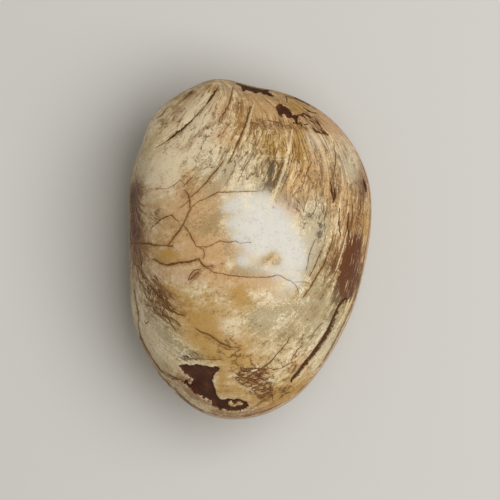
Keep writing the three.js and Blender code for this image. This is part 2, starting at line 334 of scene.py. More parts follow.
# ---- Stains ----
# Iron and manganese from the ground soaked into the stone in patches, later ones over earlier.
# The last of them is partly a pale patch and partly a painted highlight.
# Each has its tint and strength, the level where it begins and where it is full, and how much it
# follows the growth lines and the specks. Its patches are as stain() takes them.
STAINS = {
    "pale": (
        colour(220, 202, 168), 0.85, (0.15, 1.0), 0.4, 1.0,
        [(-11, 20, 9, 6, 40, 0.9), (-18, 15, 5, 5, 60, 0.5), (19.6, 18, 7, 4, -60, 1),
         (15, 22.6, 4, 3, -40, 1), (-20, -18, 5, 7, 20, 0.7), (15, -20, 2, 7, -35, 0.8),
         (9, -13, 7, 4, 0, 0.3), (-3, -15.4, 5, 3, 0, 0.85), (-3, -29, 3, 2, 0, 0.6),
         (12.8, 24, 2, 1.8, 0, 1.1), (12.9, 30, 1.4, 0.5, -30, 1.1), (17, 19.6, 3, 2.6, 0, 0.7),
         (12.4, 4.6, 4, 6, 0, 0.9), (-11, 30, 6, 2.4, 45, 0.8), (-9, 25, 6, 2, 55, 0.6),
         (3, 20, 5, 3, 0, 0.3), (5, 12, 6, 3, -30, 0.4), (-8, 14, 5, 2, 40, 0.6),
         (18.8, 7.4, 1.2, 6, 0, 0.8), (13.6, 8, 2, 3, 0, 1.1), (14, -17, 2, 2, 0, 0.6),
         (-0.9, 18.7, 2, 2, 0, 0.7), (-2.7, 14.9, 2, 1.6, 0, 0.6)],
        [(-4, -6, 7, 9, 0, 0.7), (10, 14, 6, 5, 30, 0.6)],
    ),
    "tan": (
        colour(192, 149, 98), 0.8, (0.1, 1.1), 0.9, 0.6,
        [(5, 30, 9, 4, -15, 0.9), (13.6, 16, 4.4, 6, 0, 0.85), (19, 9, 3.5, 9, 0, 0.9),
         (-9, 6, 6, 6, 0, 0.9), (-16, 9, 5, 4, 0, 0.65), (-13, -1, 8, 5, 0, 0.8),
         (-4, 1, 3, 2, 0, 0.6), (17, 29, 6, 4, -40, 0.7), (24, 6, 2, 9, 0, 0.7),
         (2, 22, 5, 5, 0, 0.5), (4, -32, 8, 3, 15, 0.7), (-22, 5, 2, 9, 0, 0.3),
         (0, -6.8, 7, 1.6, -4, 0.65), (2, -10, 7, 3, 0, 0.3), (-0.4, -5, 3, 1.4, 0, 0.5),
         (-4.2, 5.4, 2.2, 4.5, 0, -0.7), (4.3, -1.6, 2.2, 1.6, 0, 0.5),
         (16.3, 27, 2, 0.9, -50, 0.9), (-9.6, 13, 3.6, 3.4, 0, 0.6), (8, 11, 3, 2.2, 0, 1),
         (-7.4, -4.6, 2.6, 1.8, 0, 0.6), (-5.8, 23.6, 2.4, 2.4, 0, 0.8),
         (11, -23.8, 2.8, 2, 50, 0.7), (-6.4, 29.8, 2, 2.4, 0, 0.6), (8.4, 16.8, 2, 2.4, 0, 0.6),
         (13.4, 8, 2.2, 2.4, 0, -0.6), (2.9, -5.6, 1.8, 1.2, 0, 0.6), (8.5, -22.6, 2, 1.6, 0, 0.4)],
        [(8, 10, 12, 9, 20, 0.8), (-10, -14, 9, 12, 0, 0.7), (14, -16, 6, 12, -20, 0.6)],
    ),
    "rosy": (
        colour(204, 168, 142), 0.6, (0.2, 1.1), 0.3, 0.4,
        [(-17, -5, 8, 2.6, -8, 0.8), (8.7, 9, 2.4, 2.2, 0, 1), (22, 22, 5, 3, -50, 0.5),
         (13, -12, 5, 4, 0, 0.5), (17, 27, 5, 2, -40, 0.5), (-5, 35, 6, 2, 0, 0.6),
         (3, 9, 3, 2, 0, 0.3)],
        [(-14, -2, 8, 5, 0, 0.7)],
    ),
    "ochre": (
        colour(176, 134, 62), 0.8, (0.15, 1.1), 0.6, 0.5,
        [(-16.8, -0.7, 1.8, 1.3, 0, 0.9), (-2.4, -9, 1.4, 2.2, 20, 1), (-3, -12, 5, 3, 0, 0.4),
         (2, -11, 6, 3, 0, 0.4), (-11, -16, 5, 3.4, -10, 0.8), (1, -31, 7, 2.4, 8, 0.7),
         (-6.4, -20.4, 6, 3, -14, 1.3), (-13.6, -12, 4, 2.4, -30, 0.5),
         (-16, -8.6, 3, 1.6, -30, 0.6), (-6, -29, 3.6, 2, 10, 0.4), (-4.4, -16.6, 2.6, 2, 0, -0.5),
         (10.6, 22, 1.6, 4.4, 6, 1.2), (0, -28, 7, 3.4, 5, 0.38), (-1, -24, 6, 2.4, 0, 0.35),
         (-18.4, -4.4, 3, 6, 0, 0.3), (-2, -17, 6, 4, 0, 0.2), (-10, 5.6, 3, 2.6, 0, 0.55),
         (4, 22, 3, 3, 0, 0.8), (9.4, 30.3, 1.6, 0.9, -20, 1.1), (8, 31.4, 4, 1.2, -20, 0.5),
         (-2.4, 26, 1.4, 5, 0, 0.8), (-8, 34, 2, 1.6, 0, 0.8), (-13, 15.4, 2.6, 2.4, 50, 0.8),
         (10, -29, 5, 2, 35, 0.8), (24, 5, 1.5, 4, 0, 0.8), (12, -11.6, 5, 3, 0, 0.3),
         (-20, 0.6, 2.6, 2.6, 0, 0.55), (-8.4, -10.4, 2.4, 2, 0, 0.4),
         (-10.4, -7.6, 2, 1.6, 0, 0.35), (-0.9, -17, 2.4, 1.8, 0, 0.5),
         (-6.3, -26.2, 1.2, 1.6, 0, 0.6), (-20, -9, 3.4, 2.4, -50, 0.4),
         (6.6, 20.5, 1.8, 2, 0, 0.5)],
        [(-6, 6, 9, 5, 30, 0.8), (10, -20, 6, 8, 0, 0.7), (-14, -20, 4, 7, 20, 0.6)],
    ),
    "brown": (
        colour(132, 86, 46), 0.7, (0.2, 1.1), 0.7, 1.0,
        [(-24.6, 5, 1.7, 9, 0, 1.3), (-24, 12, 1.6, 2.2, 0, 0.9), (-22.8, 1, 1.6, 4, 0, 0.7),
         (-19.4, -8.6, 5, 2.6, -52, 0.65), (-14.6, -11.6, 4, 2, -35, 0.45),
         (-13, 14.2, 2.6, 2.2, 40, 0.6), (-11, 24, 8, 0.9, 42, 0.8), (17.4, -1.6, 1.6, 5, -12, 1.2),
         (22.8, 8, 1.2, 7, 0, 0.8), (3, 26.2, 8, 0.8, -3, 0.7), (-1.6, 28.4, 1.8, 4, 0, 0.4),
         (-13.6, -22.4, 2, 1, 0, 0.4), (-11.4, -30.8, 5, 0.8, -33, 0.9),
         (14.4, 17, 2.4, 2.6, 0, 0.4), (17.8, 13.4, 1.4, 4, 4, 0.9), (20.6, 7, 0.8, 6, 0, 0.5),
         (10, 19, 1, 6, 8, 0.6), (12.4, 28.2, 3, 1, -40, 0.7), (13.8, 26.2, 3, 1, -45, 0.7),
         # The first patch below darkens the bottom lip by the margin: partly brown streaks, partly
         # painted shade where the lip turns away from the light.
         (-2, -34.6, 8, 1.3, 4, 0.8), (23.6, 15, 1.4, 4, 0, 0.9), (6, 22, 1, 5, 4, 0.5),
         (-11.6, -5.2, 1.6, 0.6, 50, 1.2), (1.4, -27, 2.6, 1.8, 20, 0.8),
         (3, -30.2, 2, 1.6, 0, 0.5), (-11, -28, 5, 1, 60, 0.8), (22, -12, 1.4, 5, -20, 0.5),
         (-14, -27.2, 2, 1.3, -30, 0.9), (-21.6, -13.4, 1.6, 2, 0, 0.7),
         (21.6, 3.7, 1.2, 3, 0, 0.6), (-7.4, -4.2, 2.6, 1.6, 0, 0.5),
         (-2.6, 30.6, 1.6, 2.4, 0, 0.45), (-12, -3.8, 2, 1.2, 0, 0.25),
         (-12.6, 11.2, 2.6, 1.6, 0, 0.45), (-21.6, 9.3, 1.4, 2, 0, -0.7),
         (-19.6, -9.5, 1.4, 1.2, 0, -0.3), (-4.6, -29.9, 1.6, 0.8, 0, 0.5),
         (-2, -28.6, 1.8, 1.2, 0, -0.5), (-5.6, 23.8, 2, 2, 0, 0.35)],
        [(-22, -3, 2.5, 9, 0, 0.9), (4, -31, 6, 2, 0, 0.8)],
    ),
    "dark brown": (
        colour(80, 46, 20), 0.85, (0.4, 1.0), 1.2, 2.4,
        [(-25, 5, 1.1, 8, 0, 0.8), (-24.6, 12, 1, 2, 0, 0.7), (-20, -8.4, 4, 1.2, -55, 0.55),
         (22.8, 8, 0.9, 6, 0, 0.6), (17.6, 12.6, 0.7, 3.4, 4, 0.7), (16.8, -3.4, 1, 4, -12, 0.7),
         (12, 28.4, 2, 0.8, -35, 0.5), (-16, 24.4, 3, 0.7, 40, 0.6), (23.8, 14, 0.7, 3, 0, 0.7),
         (-17.6, -11.4, 2.4, 1, -50, 0.5), (0.8, -27, 1.6, 1, 20, 0.6), (21, -5, 4, 0.8, 80, 0.7)],
        [(-23, -3, 1.6, 8, 0, 0.8)],
    ),
    "rust": (
        colour(96, 50, 24), 0.97, (0.25, 0.95), 1.3, 1.0,
        [(21.2, -2.6, 5.6, 1.7, 84, 1.1), (19.6, -8, 3, 2, 60, 1.1), (17.2, -2.6, 3, 0.7, 75, 0.7),
         (22.2, 0.6, 2, 1, 84, 0.6), (19.4, -6, 6, 1, 72, 0.5), (19.8, -2, 3.6, 1, 80, 0.8),
         (11.4, 28.4, 1.8, 0.5, -10, 0.7), (-14.6, 25.8, 3.4, 0.8, 42, 0.5),
         (-24.4, 5, 1.6, 8, 0, 0.78), (2, -27.6, 2.6, 1.6, 20, 0.5)],
        [(18, 12, 8, 2, 60, 0.9), (-8, 24, 6, 1.5, 20, 0.8)],
    ),
    "grime": (
        colour(134, 126, 94), 0.46, (0.5, 0.95), 1.4, 2.8,
        [(6, 17.4, 3, 2, 60, 0.9), (3, 14, 4, 2.4, 40, 0.8), (13.4, 4.6, 4, 5, 0, 0.8),
         (16.2, -10.6, 2.4, 3, 0, 0.8), (1.4, -14, 3.4, 2.8, 0, 0.5), (0.2, -4.4, 3.6, 1.4, 0, 1),
         (-6.6, 7.4, 3, 3.6, 0, 0.5), (-3.6, 0.2, 2.4, 2.2, 0, 0.8), (4.6, -1.6, 1.8, 1.6, 0, 0.7),
         (-12, 19.4, 7, 3, 40, 0.2), (-20, 7.4, 2.4, 2, 0, 0.55), (-17.4, -17, 4, 4.4, 0, 0.6),
         (-20, -12.4, 3, 4, 0, 0.4), (-12, -22, 4, 1.8, 0, 0.9), (15, -12.4, 4, 5, 0, 0.7),
         (5, -14, 8, 6, 0, 0.75), (17, -20.4, 1.4, 4, -35, 0.6), (13.2, -0.4, 2.4, 7, -16, 0.8),
         (-1, 20.4, 6, 6, -30, 0.62), (16, 16, 5, 6, 20, 0.7), (20.4, 17.6, 2, 4.6, 20, 0.6),
         (-6, 16, 5, 4, 30, 0.4), (12, -19, 4, 3, 30, 0.4), (-14, 5, 4, 3, 0, 0.5),
         (-9, 5, 4, 3, 0, 0.45), (-9.6, 14, 3.6, 3.6, 0, 0.6), (8.8, 10.8, 2.6, 2, 0, 0.7),
         (-16.8, -18.8, 2.4, 2, 0, 0.5), (17.6, -13.2, 1.4, 2.4, -30, 0.5),
         (4.8, 11.4, 1.6, 1.4, 0, 0.5), (-5, 18.6, 2.2, 2.2, 0, 0.4), (15, -3.4, 2.4, 4, -10, 0.5)],
        [(2, 18, 8, 3, 30, 0.6), (-16, 8, 3, 5, 0, 0.7), (12, -26, 5, 2, 50, 0.6)],
    ),
    "soot": (
        colour(56, 52, 42), 0.8, (0.8, 1.3), 2.6, 2.6,
        [(5.6, 17.4, 2.6, 1.7, 65, 1.5), (4.2, 14.2, 2.4, 1.6, 50, 1.4),
         (14.3, 3.2, 0.9, 0.6, 0, 1), (14.5, 5.5, 1.1, 0.7, -30, 1.1),
         (12.4, 7.6, 0.7, 0.5, 0, 0.9), (16.2, -10.8, 1.2, 1.5, 0, 0.9),
         (0.6, -14.6, 1.4, 1.2, 0, 0.5), (-13, -22, 2, 1, 0, 0.8), (13.4, 0, 2.2, 5, -16, 0.5)],
        [(2, 18, 8, 3, 30, 0.8), (-16, 8, 3, 5, 0, 0.9)],
    ),
    # Partly a pale patch in the stone and partly a painted highlight: a cool near-white wash on the
    # crown where the soft box's glare falls. Fine lines, halos and cracks fade under it.
    "pale_patch_and_painted_glare": (
        colour(205, 204, 196), 0.82, (0.3, 1.0), 0.6, 2.2,
        [(2.6, 6, 5.4, 4.2, -20, 0.9), (7, 0.2, 3.6, 6.4, -12, 0.9), (1, 1.6, 4, 5, 0, 0.7),
         (-3, 11, 4, 2.6, 20, 0.5), (13.4, -1.4, 2, 5, -12, 0.32), (20.6, 17.4, 5, 2.4, -62, 0.48),
         (13, 23.2, 2.6, 1.4, -20, 0.55), (10.4, 6, 2, 2.4, 0, -0.6), (1.5, -13, 2.2, 1.6, 0, 0.35),
         (10.4, -1.6, 1.2, 1.6, 0, 0.5), (9.2, -6.6, 1.6, 1, 30, 0.5), (-3.4, 5.6, 1.6, 1, 0, 0.6),
         (-4.4, 9.2, 1.4, 0.8, 20, 0.6), (-2.8, 2.2, 1.2, 1, 0, 0.5),
         (-1.8, -2.2, 1.2, 0.9, 0, 0.6), (3.2, -1.9, 1.6, 0.9, 10, -0.7),
         (4.8, -0.8, 1.3, 1.2, 0, -0.7), (5.4, -2.3, 1, 0.9, 0, -0.7), (8.6, -4, 2, 2.4, 0, 0.35),
         (2.6, 11, 2, 1.4, 0, 0.4), (12, 4, 2.2, 2.4, 0, 0.2), (6.6, -9.5, 2.4, 1.6, 0, 0.3)],
        [(-4, -6, 4, 5, 0, 0.8)],
    ),
}
for name, (tint, strength, (begins, full), streaky, speckled, above, below) in STAINS.items():
    soaked = keep(name, stain(above, below)) + mottle * 0.8
    shows = step(soaked + (streaks + hairs) * streaky + specks * speckled, begins, full)
    base = mix(base, tint, shows * strength)
pale_patch_and_painted_glare = shows  # the last stain of the list, the pale patch and painted glare, where fine lines fade too

# ---- Hair lines and crazing ----
# Fine dark lines where dirt crept in between the growth lines, a crazed web of hair cracks in the
# outer layer where it was bruised, and freckles of dirt in its pores.
HAIR_BROWN = colour(92, 62, 34)
PALE_HAIR = colour(232, 214, 172)
CRAZED = (
    [(1, -27, 2.8, 2, 20, 1.4), (2.9, -30.2, 2.1, 1.7, 0, 1.1), (-1.6, -26.4, 2, 1.2, 20, 0.9),
     (7.4, -29.4, 1.3, 0.7, 10, 1.1), (-20.5, -8.6, 4, 2.2, -55, 0.85),
     (-17.6, -13, 4, 2.6, -50, 0.75), (-5, -19.6, 6, 2.4, -20, 0.5), (-20, 7, 2, 1.6, 30, 0.7),
     (5, 26.6, 7, 1.2, -5, 0.6), (9, 9.4, 2, 2, 0, 0.6), (-5, -24.6, 6, 3, 0, 0.4),
     (-10, 22, 8, 3, 40, 0.3), (22, 12, 2, 3, 0, 0.5), (10, -21.6, 5, 3, 50, 0.4),
     (2, 21, 5, 4, 0, 0.5), (12.4, 26.6, 3, 1.4, -38, 0.3), (-13.6, -22.4, 1.8, 1, 0, 1),
     (12.6, 6, 3, 3, 0, 0.35), (17, 18, 4, 5, 20, 0.3), (-15, 13, 3, 3, 0, 0.4),
     (-3, -28.4, 2, 1.4, -20, -0.5)],
    [(6, -24, 7, 4, 30, 0.9), (-15, 10, 4, 8, 0, 0.8), (10, 20, 7, 4, -20, 0.7)],
)
CRAZED_BROWN = colour(86, 44, 24)
crazed = keep("crazed", stain(*CRAZED)) + mottle * 1.2
arc = turn * (out * out + up * up).math("SQRT")  # mm over the shell from the margin
scribble = grain(vector(arc * 1.7 + mottle * 0.9, place * 0.7 + mottle * 1.2, side), 1, 3, 0.62)
crackle = grain(vector(line_number * 0.7, place * 0.5, side), 1, 3, 0.6)
scribbled = step((scribble - 0.03).math("ABSOLUTE"), 0.07, 0.035) * step(crazed, 0.6, 0.95)
web_line = step(crackle.math("ABSOLUTE"), 0.045, 0.015) * step(crazed, 0.25, 0.6)
hair_line = step((streaks + specks * 0.08).math("ABSOLUTE"), 0.022, 0.006) * step(
    fibre_share * 0.6 + mottle * 2 + bands * 0.8, 0.2, 0.6
)
thin_line = step(hairs + specks * 0.2, 0.09, 0.16) * step(fibre_share * 0.7 + mottle * 1.6, 0.3, 0.7)
pale_line = step(hairs + specks * 0.2, -0.08, -0.15) * step(fibre_share * 0.8 - mottle * 1.6, 0.3, 0.8)
base = mix(base, PALE_HAIR, pale_line * 0.45)
fine_line = (hair_line * 0.75).math("MAXIMUM", thin_line * 0.48)
# Fine lines and the web fade under the pale patch and its painted glare.
base = mix(base, HAIR_BROWN, fine_line * (1 - pale_patch_and_painted_glare * 0.7))
base = mix(base, HAIR_BROWN, web_line * (0.65 - pale_patch_and_painted_glare * 0.4))
base = mix(base, CRAZED_BROWN, scribbled * 0.9)
freckled = step(specks * 1.2 + dust * 0.8 + mottle * 0.5, 0.14, 0.26)
base = mix(base, HAIR_BROWN, freckled * 0.3)

# ---- Cracks ----
# Fine cracks, healed with brown calcite and polished flush. Each is a line through these places,
# in mm from the shell's middle. Cracks that meet lie in different layers, because a layer keeps
# only the distance to its nearest crack.
CRACK_LAYERS = 4
CRACKS = [
    (0, 0.16, [(-14.1, 12.7), (-13.6, 12.2), (-13, 11.6), (-12.9, 10.6), (-12.7, 8.7), (-13.3, 7.6),
               (-14, 6.1), (-14.9, 4.3), (-15.9, 3.1), (-16.9, 1.9), (-17.3, 1.1)]),
    (3, 0.12, [(-12.8, 11), (-11.3, 12.3), (-9.4, 14.1), (-8.4, 15.6), (-7.3, 16.7), (-5.9, 18.7)]),
    (1, 0.1, [(-12.7, 8.7), (-12, 9.5), (-10.7, 10.4), (-9.6, 10.7), (-8.8, 11.3), (-6.9, 12.2),
              (-4, 12.3), (-1.3, 12.4), (1.4, 12.4)]),
    (2, 0.11, [(-15.1, 5.9), (-16.1, 6.9), (-16.7, 7.4), (-17.6, 7.2), (-19.1, 6.4), (-20.1, 5.5),
               (-21, 4.9), (-21.1, 4)]),
    (1, 0.11, [(-14.3, 5.6), (-13.2, 4.1), (-12.6, 3.4), (-12.4, 2.5), (-11.8, 1.8), (-11.5, 0.9),
               (-10.7, 0.7), (-10.1, 0.3), (-9.7, -0.8), (-10, -1.7)]),
    (3, 0.1, [(-11.3, 0.9), (-9.4, 0.7), (-8.6, 1), (-6.5, 2.1), (-5.3, 1.7), (-3.2, 2),
              (-2.3, 1.6), (0, 1.8)]),
    (2, 0.16, [(-25.6, 1.6), (-21.4, 1.5), (-20.1, 1.1), (-18.4, 1.1), (-16.3, 0.9)]),
    (0, 0.18, [(-20.8, -1.9), (-20, -1.9), (-19.1, -2.6), (-17.6, -3), (-16.3, -2.8), (-14.8, -2.4),
               (-13.1, -2.4), (-11.8, -2), (-10.9, -1.8), (-10.1, -3), (-9.4, -3.4), (-8.2, -3.2)]),
    (2, 0.1, [(-10.1, -3.4), (-8.8, -3.8), (-7.9, -4.4), (-6.5, -4.7), (-4.4, -5.2), (-2.3, -5.4),
              (-0.2, -5.6), (3.5, -5.5), (4.6, -5.3), (5.4, -5), (6.2, -5.2), (7.2, -6),
              (8.5, -6.4), (9.3, -7.2), (10, -9)]),
    (1, 0.07, [(8.1, -6.5), (10.2, -6.6), (12.3, -6.7)]),
    (1, 0.1, [(-13.2, -6.2), (-12.6, -4.9), (-12, -4.2), (-10.9, -3.8)]),
    (3, 0.09, [(-13, -6.1), (-11.8, -5.1), (-11, -4.5)]),
    (1, 0.09, [(-14, 13.4), (-13.3, 14.3), (-12.8, 14.9), (-12.2, 15.3)]),
    (3, 0.07, [(-20.5, 12.9), (-17.6, 12.9), (-16.7, 13.3), (-14.8, 14.7)]),
    (2, 0.08, [(-14.8, 8.9), (-13.6, 9.9), (-12.8, 10.8)]),
    (3, 0.12, [(-25.1, -1.6), (-24.5, -2.9), (-23.6, -3.6), (-23.2, -4.5), (-22.8, -5.5),
               (-22.1, -6)]),
    (2, 0.09, [(-23.8, 0.7), (-23.5, -1.2), (-23.2, -3.2)]),
    (0, 0.13, [(-24.7, -8.3), (-24.2, -11.5), (-23.8, -13.8), (-23.9, -16.1), (-23.5, -18.4),
               (-22.4, -20.4), (-21.4, -22.3), (-20.3, -24), (-19.3, -25.2), (-18.2, -26.3),
               (-16.7, -27), (-14.3, -27.2)]),
    (1, 0.12, [(-20.1, -24.8), (-19.1, -26.5), (-17.1, -28.6), (-15.5, -30.1), (-14, -31.4),
               (-11.9, -33.2), (-9.7, -34.3)]),
    (3, 0.15, [(-11.5, -16.3), (-10.7, -17), (-8.6, -17.7), (-7.3, -18.7), (-6.3, -19.3),
               (-5.3, -19.8), (-4.2, -20.2), (-2.5, -20.3)]),
    (1, 0.1, [(-2.1, -20.6), (-3.2, -21.2), (-4.2, -22.3), (-5.3, -22.5)]),
    (2, 0.1, [(-6.6, -19.9), (-4.9, -20.6), (-3.2, -20.8)]),
    (0, 0.07, [(-15.1, -23.1), (-12.8, -22.7), (-8.6, -22.9), (-6.3, -22.9)]),
    (3, 0.1, [(8.4, -17.9), (7.5, -19.3), (6.3, -20.8), (5.1, -22), (4.2, -23.2), (3, -24.2),
              (1.2, -25.3), (-0.5, -26.2), (-2, -27)]),
    (2, 0.09, [(10.7, -19.9), (9.8, -20.7), (9, -22), (8.4, -22.9)]),
    (1, 0.09, [(9.3, -23.2), (7.8, -23.8), (6.3, -24.6), (4.8, -25), (3.3, -24.4)]),
    (0, 0.16, [(9.5, -24), (9, -25.1), (8.4, -25.7)]),
    (2, 0.12, [(8, -30), (7, -30.3), (6.1, -31.2)]),
    (2, 0.08, [(15.1, -15.2), (14.2, -15.8), (13.4, -16.9), (12.7, -17.9)]),
    (0, 0.12, [(-3.2, -26.9), (-2.1, -26.5), (-1.1, -26.7), (0.2, -25.9), (1.4, -25.2),
               (3.5, -24.8)]),
    (2, 0.1, [(-0.8, -26.9), (0.3, -27.4), (1.4, -28), (2.7, -28.2), (4.1, -27.4)]),
    (1, 0.08, [(-0.2, -28.4), (1.4, -29.3), (3.1, -29), (5.2, -29.6)]),
    (3, 0.08, [(0, -30.1), (1.4, -30.5), (3.1, -30.1), (4.4, -30.6), (4.6, -31.7)]),
    (0, 0.08, [(-0.4, -34), (1, -33), (2.2, -31.9), (3.9, -31.9)]),
    (2, 0.12, [(-3.8, 34.6), (-4.1, 32.7), (-4.5, 31.1), (-5.1, 29.9), (-5.9, 28.6), (-6.8, 26.9)]),
    (3, 0.12, [(-1.3, 26.6), (0.4, 26.9), (1.4, 26.6)]),
    (3, 0.1, [(2.4, 27.3), (3.4, 27.5), (5, 26.9), (6.4, 26.9)]),
    (0, 0.08, [(6.9, 26.2), (8, 26.3), (8.8, 25.6)]),
    (3, 0.12, [(-13.8, 32.5), (-12.9, 32.9), (-12.1, 33.6)]),
    (2, 0.1, [(-14.3, 27.8), (-15.6, 26.8)]),
    (0, 0.09, [(8.1, 25.3), (8.5, 22.1), (8.8, 20), (8.1, 17.2), (7.5, 15.1), (6.2, 12.3)]),
    (1, 0.08, [(9.4, 25.3), (10.1, 22.8), (9.9, 20.3), (8.9, 18.6)]),
    (2, 0.08, [(2.9, 26.3), (1.8, 23.5), (0.4, 20.3), (-1.5, 17.2), (-2.7, 14.4)]),
    (1, 0.08, [(6, 24.5), (5.7, 22.1), (5, 19.6), (3.9, 17.2), (2.5, 14.4)]),
    (2, 0.08, [(17.3, 22.9), (17.9, 20.1), (17.6, 17.2), (16.7, 14.4)]),
    (3, 0.1, [(12.6, 18.6), (11.6, 16.1), (13, 14), (14, 13.4)]),
    (1, 0.1, [(13.5, 2.5), (12.6, 0.7), (12, -1.7), (11.5, -4.1)]),
    (2, 0.12, [(15.3, 1.3), (14.1, -1.4), (13.2, -3.5), (12.3, -5.5)]),
    (3, 0.14, [(17.2, 2.8), (16.3, -0.2), (15.3, -2.9), (13.8, -5.3), (12.3, -7.9), (10.8, -10)]),
    (0, 0.12, [(16, 10.9), (15.6, 8.2), (15.3, 6.4)]),
    (1, 0.12, [(20.4, 7.3), (20.1, 4.3), (19.2, 0.7), (18, -2.9)]),
    (2, 0.1, [(21.3, 9.7), (21.2, 6.7), (20.6, 3.7)]),
    (3, 0.1, [(11.7, 10.9), (11.2, 9.4), (10.8, 7.9)]),
    (2, 0.14, [(-18.6, -25.5), (-16.5, -26.6), (-14.7, -27.2), (-12.6, -28.7)]),
    (3, 0.16, [(-16.2, -29.1), (-14.8, -31), (-12.7, -32.9), (-10.8, -33.7)]),
    (0, 0.15, [(-0.2, 30.4), (-0.8, 28), (-1.8, 25.2), (-2.9, 22.5), (-4, 20.2), (-4.6, 18.6)]),
    (0, 0.09, [(-8, 32.8), (-9, 31.4), (-10.4, 29.7), (-12.4, 27.5), (-14.8, 25.4), (-17.5, 23.3),
               (-20, 21.6)]),
    (2, 0.12, [(-17.6, 30.1), (-18.7, 28.6), (-19.5, 28)]),
    (3, 0.16, [(-12.4, 33.6), (-13.3, 32.7), (-14.1, 32)]),
    (1, 0.12, [(-22.3, -11.3), (-20.6, -11.9), (-19.7, -13.1), (-18.2, -13.6), (-17.1, -14.5),
               (-16.7, -15.6), (-15.9, -16.3)]),
    (3, 0.12, [(-20.3, -10.4), (-18.8, -11.5), (-17, -12.4), (-15.5, -13.2), (-14, -13.6)]),
    (0, 0.12, [(-18.2, -12.1), (-18.5, -13.2), (-17.4, -13.9)]),
    (0, 0.1, [(-22.6, -14.9), (-22.2, -15.4), (-21.6, -15)]),
    (2, 0.12, [(-17.1, -13.9), (-15.5, -14.8), (-14.9, -15.7)]),
    (1, 0.12, [(-21.1, -5.3), (-20, -5.6), (-19.5, -6.5)]),
    (2, 0.08, [(-23.5, 0.4), (-23.1, -1.4), (-23.1, -4.1), (-22, -5.9), (-21.1, -6.8), (-20, -8),
               (-18.8, -9.4), (-18.2, -10.9), (-17, -12.1)]),
    (0, 0.08, [(-24, -5.6), (-22.8, -7.1), (-22.1, -9.5), (-20.6, -11), (-18.8, -12.7)]),
    (3, 0.12, [(-20, -7.1), (-19.4, -8), (-20.3, -9.2)]),
    (1, 0.12, [(-18.8, -8.3), (-17.6, -10), (-17.6, -11.2)]),
    (0, 0.2, [(7.6, 32.6), (9.6, 32.3), (11, 31.7), (12.7, 31), (13.6, 30.3)]),
    (1, 0.14, [(5, 18.9), (5.7, 17.9), (4.8, 15.8), (3.7, 14.4)]),
    (2, 0.14, [(6.7, 18.6), (6.2, 17.2), (5.3, 15.1), (4.1, 12.3)]),
]
LOWER_CRACKS = [
    (0, 0.12, [(-16, 14), (-10, 11), (-6, 4), (2, 1), (9, -5), (15, -6)]),
    (1, 0.1, [(-6, 4), (-9, -3), (-6, -11), (-8, -19), (-4, -24)]),
    (2, 0.1, [(2, 1), (5, 8), (3, 15), (7, 22)]),
    (3, 0.08, [(9, -5), (8, -13), (12, -19)]),
]
CRACK_WANDER = 0.16  # mm, how far a crack wanders off its line
CRACK_WANDER_LENGTH = 0.9  # mm
FAR = 9.0  # half widths, as far as a layer keeps the distance
END_WIDTH = 0.45  # the share of its width that a line keeps at its ends
HALO_WIDTH = 0.7  # mm from a crack, where its brown halo has fallen to a third
HALO_CRACK = 0.15  # mm, the half width of a crack that has a full halo
CRACK_BROWN = colour(96, 62, 28)
CRACK_EDGE = colour(152, 110, 60)


def noise_at(points, scale, seed):
    """Soft noise from -1 to 1 at each point, on a length of so many mm."""
    return np.array([noise.noise(Vector(p)) for p in points / scale + seed])


wandered_x, wandered_y = (
    c + CRACK_WANDER * noise_at(MM, CRACK_WANDER_LENGTH, seed) for c, seed in ((X, 3.7), (Y, 8.1))
)


def line_distance(points):
    """Each corner's distance beside a line of points, its straight distance from the line, and
    how far along the line it lies, as a share."""
    spans = [math.dist(a, b) for a, b in zip(points, points[1:])]
    near = np.full(len(X), float(WIDEST))
    beside = near.copy()
    share = np.zeros(len(X))
    passed = 0
    for (ax, ay), (bx, by), span in zip(points, points[1:], spans):
        ux, uy = (bx - ax) / span, (by - ay) / span
        dx, dy = wandered_x - ax, wandered_y - ay
        t = np.clip(dx * ux + dy * uy, 0, span)
        d = np.hypot(dx - t * ux, dy - t * uy)
        closer = d < near
        near = np.where(closer, d, near)
        beside = np.where(closer, dy * ux - dx * uy, beside)
        share = np.where(closer, (passed + t) / sum(spans), share)
        passed += span
    return beside, near, share


def empty_layers(count):
    """Layers that keep the distance beside the nearest line and straight to it, in half widths."""
    return np.full((2, count, len(X)), FAR)


def lay(layers, layer, half_width, points, sided):
    """Lays a line that narrows to its ends into a layer, and returns the distance to it in mm."""
    beside, near, share = line_distance(points)
    near = np.where(sided, near, WIDEST)
    width = half_width * (END_WIDTH + (1 - END_WIDTH) * np.sin(np.pi * share) ** 0.5)
    closer = near / width < layers[1, layer]
    layers[0, layer][closer] = (beside / width)[closer]
    layers[1, layer][closer] = (near / width)[closer]
    return near


def drawn(layers, name):
    """The lines of these layers as they show in the stone, with uneven edges and strength."""
    shown = 0
    for layer, (beside, near) in enumerate(zip(*layers)):
        across = keep(f"beside_{name}_{layer}", beside) + specks * 3.2 + mottle * 1.8
        line = step(across.math("ABSOLUTE") + mottle * 1.2, 1.7, 0.6)
        line = line * step(keep(f"near_{name}_{layer}", near), 4, 3)
        shown = line.math("MAXIMUM", shown)
    return shown


crack_layers = empty_layers(CRACK_LAYERS)
crack_halo = np.zeros(len(X))
for cracks, sided in ((CRACKS, UPPER), (LOWER_CRACKS, LOWER)):
    for layer, half_width, points in cracks:
        near = lay(crack_layers, layer, half_width, points, sided)
        crack_halo = np.maximum(crack_halo, half_width / HALO_CRACK * np.exp(-near / HALO_WIDTH))

halo = step(keep("crack_halo", crack_halo) + mottle * 1.2 + specks * 0.8, 0.2, 1.1)
# The halo and the cracks fade under the pale patch and its painted glare.
base = mix(base, CRACK_EDGE, halo * (1 - pale_patch_and_painted_glare * 0.8) * 0.7)
cracked = drawn(crack_layers, "crack")
strength = step(mottle * 1.4 + clouds, -0.28, 0.12) * 0.45 + 0.5
base = mix(base, CRACK_BROWN, cracked * strength * (1 - pale_patch_and_painted_glare * 0.35))

